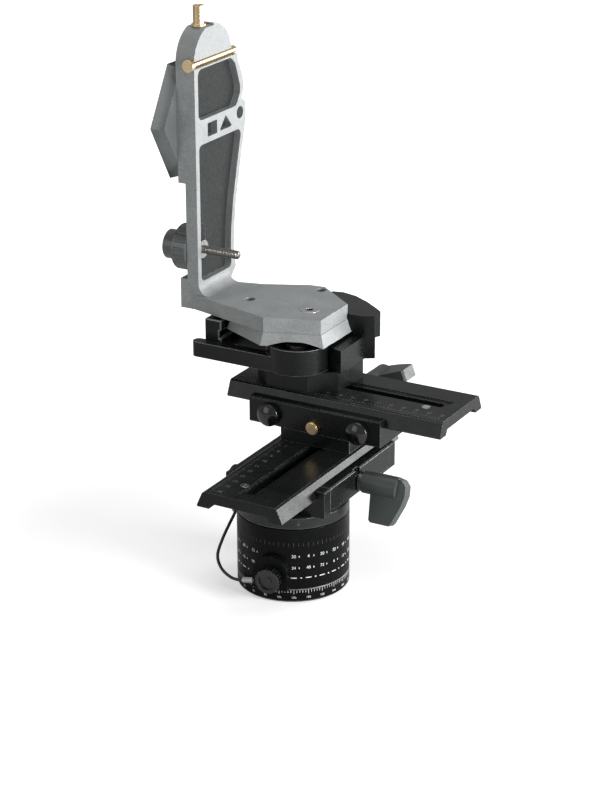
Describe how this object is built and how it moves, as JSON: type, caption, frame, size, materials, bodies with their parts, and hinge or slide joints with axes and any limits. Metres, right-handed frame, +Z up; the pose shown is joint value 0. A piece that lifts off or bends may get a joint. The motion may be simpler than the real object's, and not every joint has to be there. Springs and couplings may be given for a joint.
{
  "type": "panoramic tripod head",
  "caption": "Panoramic tripod head: click-stop pan barrel, two crossed sliding plates with wing levers, lever quick release and an L bracket for a camera.",
  "frame": {"origin": "centre of the tripod thread's mouth, on the base's lower face", "axes": "+Z up along the pan axis, +Y along the lower plate towards its rear end, +X along the upper plate away from the bracket's arm"},
  "size_m": [0.2376, 0.2208, 0.389],
  "materials": {
    "black_metal": "satin",
    "black_plastic": "gloss",
    "black_steel": "satin",
    "satin_metal": "satin",
    "lever_metal": "satin",
    "cast_metal": "satin",
    "steel": "satin",
    "brass": "satin",
    "bronze": "satin",
    "nylon": "matte",
    "lanyard": "satin"
  },
  "bodies": {
    "base": {"base_disc": "black_metal", "scale_ring": "black_metal", "tripod_bush": "steel", "spindle": "satin_metal", "base_screws": "steel", "index_ring": "steel", "thrust_washer": "nylon", "spindle_nut": "steel"},
    "pan": {"barrel_shell": "black_metal", "barrel_cap": "satin_metal", "cap_screws": "black_steel", "spindle_bush": "bronze", "index_spring": "steel", "selector_pin": "steel", "lanyard": "lanyard", "lanyard_eye": "steel", "lower_carriage": "black_metal", "lower_mount_screws": "steel", "lower_gib_springs": "steel", "lower_button_spring": "steel"},
    "index": {"index_knob": "black_plastic"},
    "lower_jaw": {"lower_gib": "black_metal"},
    "lower_lever": {"lower_clamp_stud": "satin_metal", "lower_wing_lever": "lever_metal"},
    "lower_knob_front": {"lower_guide_knob_front": "black_plastic"},
    "lower_knob_rear": {"lower_guide_knob_rear": "black_plastic"},
    "lower_release": {"lower_button": "brass"},
    "lower_slider": {"lower_plate": "black_metal", "lower_stop_screws": "steel", "upper_pad": "black_metal", "upper_pad_screws": "steel", "upper_carriage": "black_metal", "upper_mount_screws": "steel", "upper_gib_springs": "steel", "upper_button_spring": "steel"},
    "upper_jaw": {"upper_gib": "black_metal"},
    "upper_lever": {"upper_clamp_stud": "satin_metal", "upper_wing_lever": "lever_metal"},
    "upper_knob_left": {"upper_guide_knob_left": "black_plastic"},
    "upper_knob_right": {"upper_guide_knob_right": "black_plastic"},
    "upper_release": {"upper_button": "brass"},
    "upper_slider": {"upper_plate": "black_metal", "upper_stop_screws": "steel", "adapter_body": "black_metal", "adapter_screws": "steel", "adapter_lever_pin": "satin_metal", "l_bracket": "cast_metal", "base_hex_plate": "cast_metal", "base_plate_screws": "steel", "base_insert": "steel", "arm_hex_plate": "cast_metal", "arm_plate_screws": "steel", "cross_rod": "brass", "top_stud": "brass"},
    "release_lever": {"adapter_lever": "black_metal"},
    "release_jaw": {"adapter_jaw": "black_metal"},
    "camera_slider": {"camera_collar": "satin_metal"},
    "camera_fastener": {"camera_screw": "steel", "camera_knob": "black_plastic"}
  },
  "joints": [
    {"name": "pan_turn", "type": "hinge", "parent": "base", "child": "pan", "pos_m": [0, 0, 0], "axis": [0, 0, 1], "continuous": true},
    {"name": "index_pull", "type": "slide", "parent": "pan", "child": "index", "axis": [0.1392, -0.9903, 0], "range_m": [0, 0.004], "stiffness_N_per_m": 600, "springref_m": -0.003},
    {"name": "lower_lever_turn", "type": "hinge", "parent": "pan", "child": "lower_lever", "pos_m": [0.06, 0.027, 0.0744], "axis": [1, 0, 0], "range_deg": [0, 120]},
    {"name": "lower_jaw_open", "type": "slide", "parent": "pan", "child": "lower_jaw", "axis": [1, 0, 0], "range_m": [0, 0.0004]},
    {"name": "lower_knob_front_turn", "type": "hinge", "parent": "pan", "child": "lower_knob_front", "pos_m": [-0.043, -0.009, 0.0744], "axis": [-1, 0, 0], "range_deg": [-180, 180]},
    {"name": "lower_knob_rear_turn", "type": "hinge", "parent": "pan", "child": "lower_knob_rear", "pos_m": [-0.043, 0.063, 0.0744], "axis": [-1, 0, 0], "range_deg": [-180, 180]},
    {"name": "lower_button_press", "type": "slide", "parent": "pan", "child": "lower_release", "axis": [1, 0, 0], "range_m": [0, 0.003], "stiffness_N_per_m": 600, "springref_m": -0.003},
    {"name": "lower_plate_slide", "type": "slide", "parent": "pan", "child": "lower_slider", "axis": [0, 1, 0], "range_m": [-0.0427, 0.0733]},
    {"name": "upper_lever_turn", "type": "hinge", "parent": "lower_slider", "child": "upper_lever", "pos_m": [0, 0.1295, 0.1093], "axis": [0, 1, 0], "range_deg": [0, 120]},
    {"name": "upper_jaw_open", "type": "slide", "parent": "lower_slider", "child": "upper_jaw", "axis": [0, 1, 0], "range_m": [0, 0.0004]},
    {"name": "upper_knob_left_turn", "type": "hinge", "parent": "lower_slider", "child": "upper_knob_left", "pos_m": [-0.036, 0.0265, 0.1093], "axis": [0, -1, 0], "range_deg": [-180, 180]},
    {"name": "upper_knob_right_turn", "type": "hinge", "parent": "lower_slider", "child": "upper_knob_right", "pos_m": [0.036, 0.0265, 0.1093], "axis": [0, -1, 0], "range_deg": [-180, 180]},
    {"name": "upper_button_press", "type": "slide", "parent": "lower_slider", "child": "upper_release", "axis": [0, 1, 0], "range_m": [0, 0.003], "stiffness_N_per_m": 600, "springref_m": -0.003},
    {"name": "upper_plate_slide", "type": "slide", "parent": "lower_slider", "child": "upper_slider", "axis": [1, 0, 0], "range_m": [-0.0687, 0.0473]},
    {"name": "release_lever_turn", "type": "hinge", "parent": "upper_slider", "child": "release_lever", "pos_m": [-0.0265, 0.055, 0.145], "axis": [0, 0, 1], "range_deg": [0, 80]},
    {"name": "release_jaw_open", "type": "slide", "parent": "upper_slider", "child": "release_jaw", "axis": [-1, 0, 0], "range_m": [0, 0.005]},
    {"name": "camera_screw_slide", "type": "slide", "parent": "upper_slider", "child": "camera_slider", "axis": [0, 0, 1], "range_m": [-0.001, 0.014]},
    {"name": "camera_screw_turn", "type": "hinge", "parent": "camera_slider", "child": "camera_fastener", "pos_m": [-0.12, 0.0665, 0.211], "axis": [1, 0, 0], "continuous": true}
  ],
  "couplings": [
    {"joint": "lower_jaw_open", "follows": "lower_lever_turn", "m_per_rad": 0.00019},
    {"joint": "upper_jaw_open", "follows": "upper_lever_turn", "m_per_rad": 0.00019},
    {"joint": "release_jaw_open", "follows": "release_lever_turn", "m_per_rad": 0.0035738}
  ]
}
